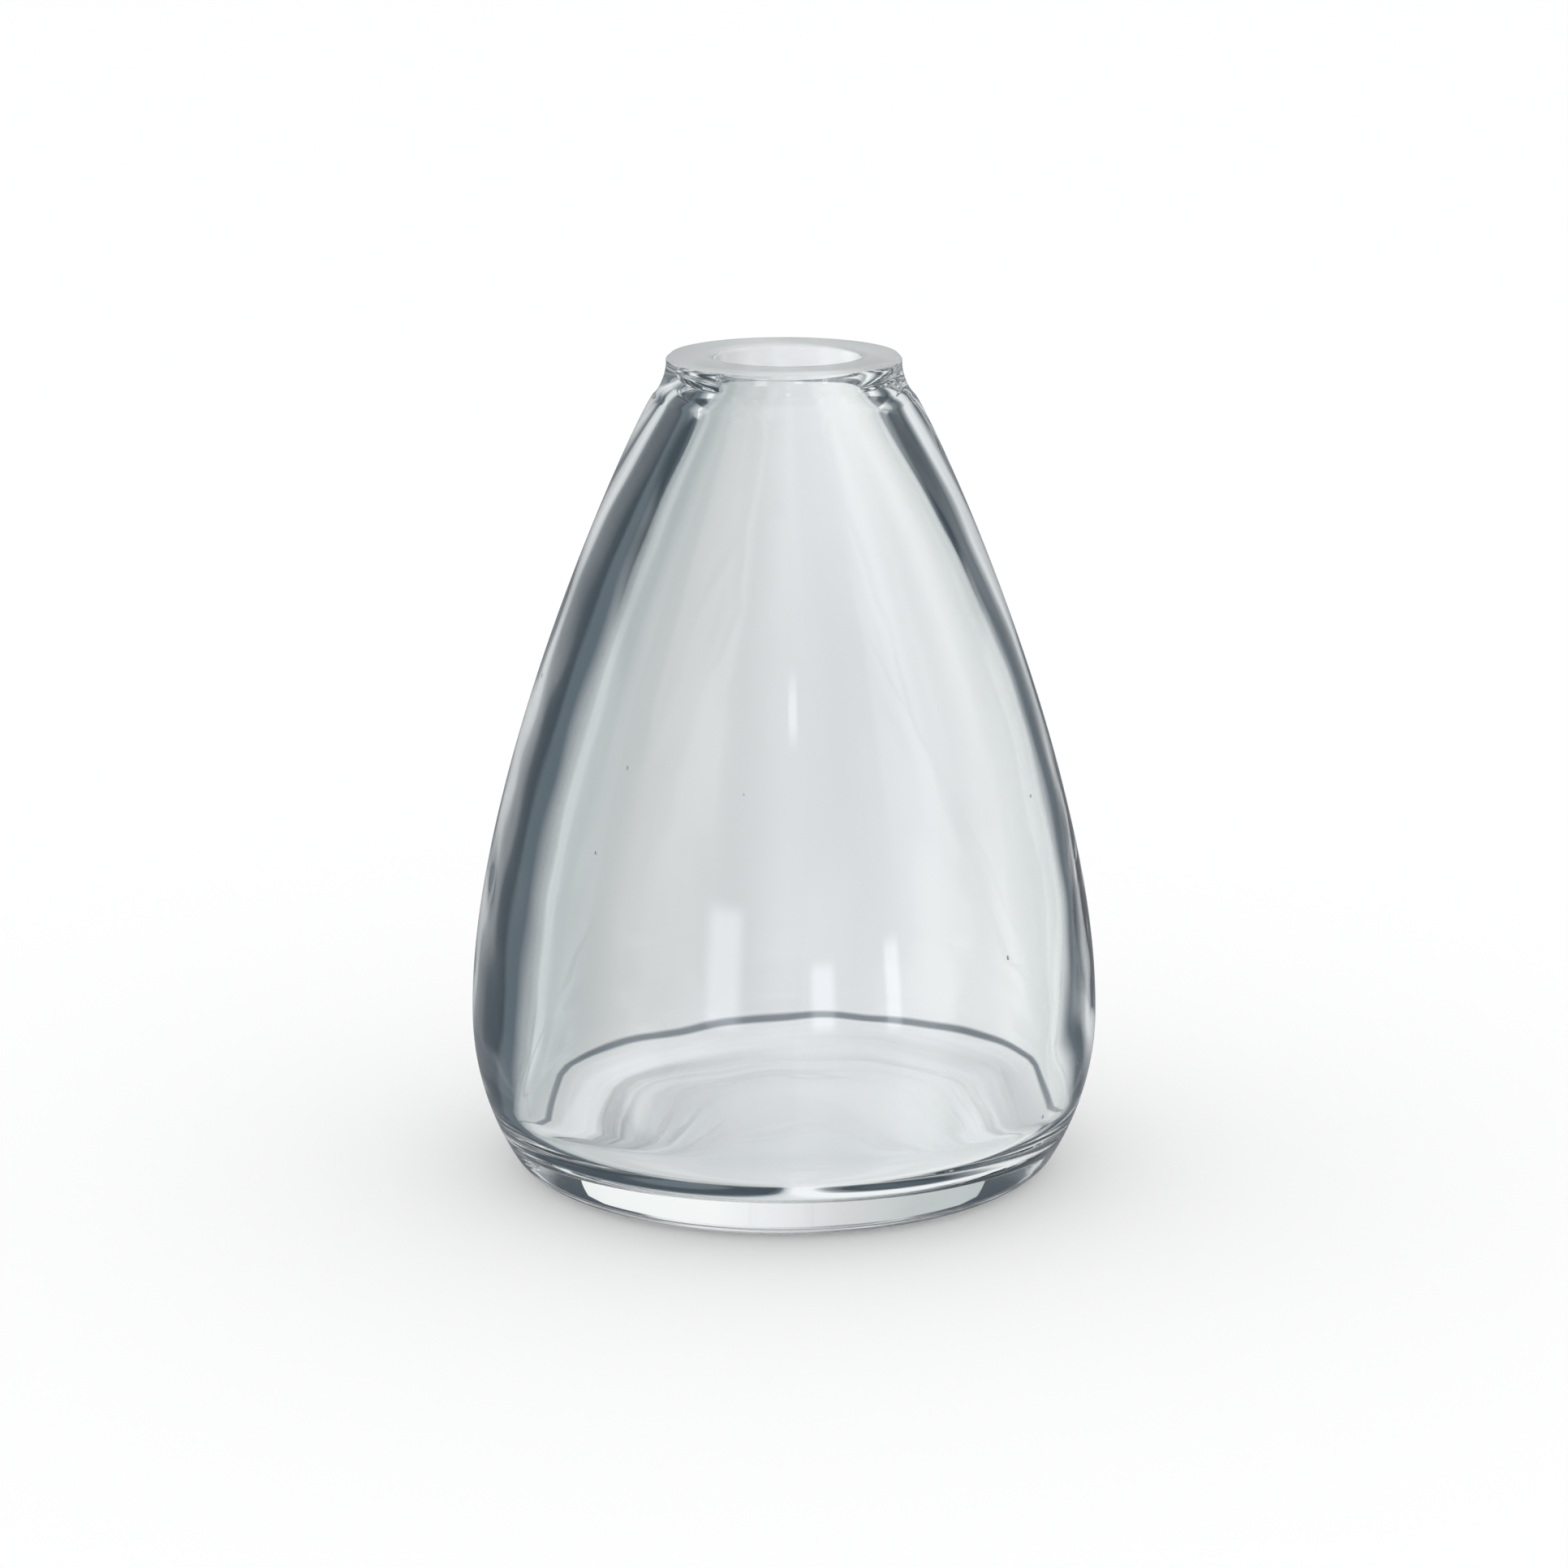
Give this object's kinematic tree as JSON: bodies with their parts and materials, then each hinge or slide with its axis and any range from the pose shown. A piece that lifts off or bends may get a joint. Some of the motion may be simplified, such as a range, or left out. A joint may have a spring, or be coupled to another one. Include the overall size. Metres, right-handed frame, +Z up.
{
  "type": "bud vase",
  "caption": "Pear-shaped bud vase in thick clear glass, with a heavy base, a short collar and a ground, frosted rim round a narrow mouth.",
  "frame": {"origin": "centre of the resting face, on the surface the vase stands on", "axes": "+Z up the axis of the vase, out of the mouth; X and Y are equivalent because the vase is round"},
  "size_m": [0.1, 0.1, 0.1305],
  "materials": {
    "clear_glass": "fire-polished thick clear glass with a faint cool grey tint, a few seeds and soft tool marks",
    "ground_glass": "fine-ground, frosted matte glass"
  },
  "bodies": {
    "root": {"base": "clear_glass", "heel": "clear_glass", "belly": "clear_glass", "shoulder": "clear_glass", "collar": "clear_glass", "ground_rim": "ground_glass"}
  },
  "joints": []
}
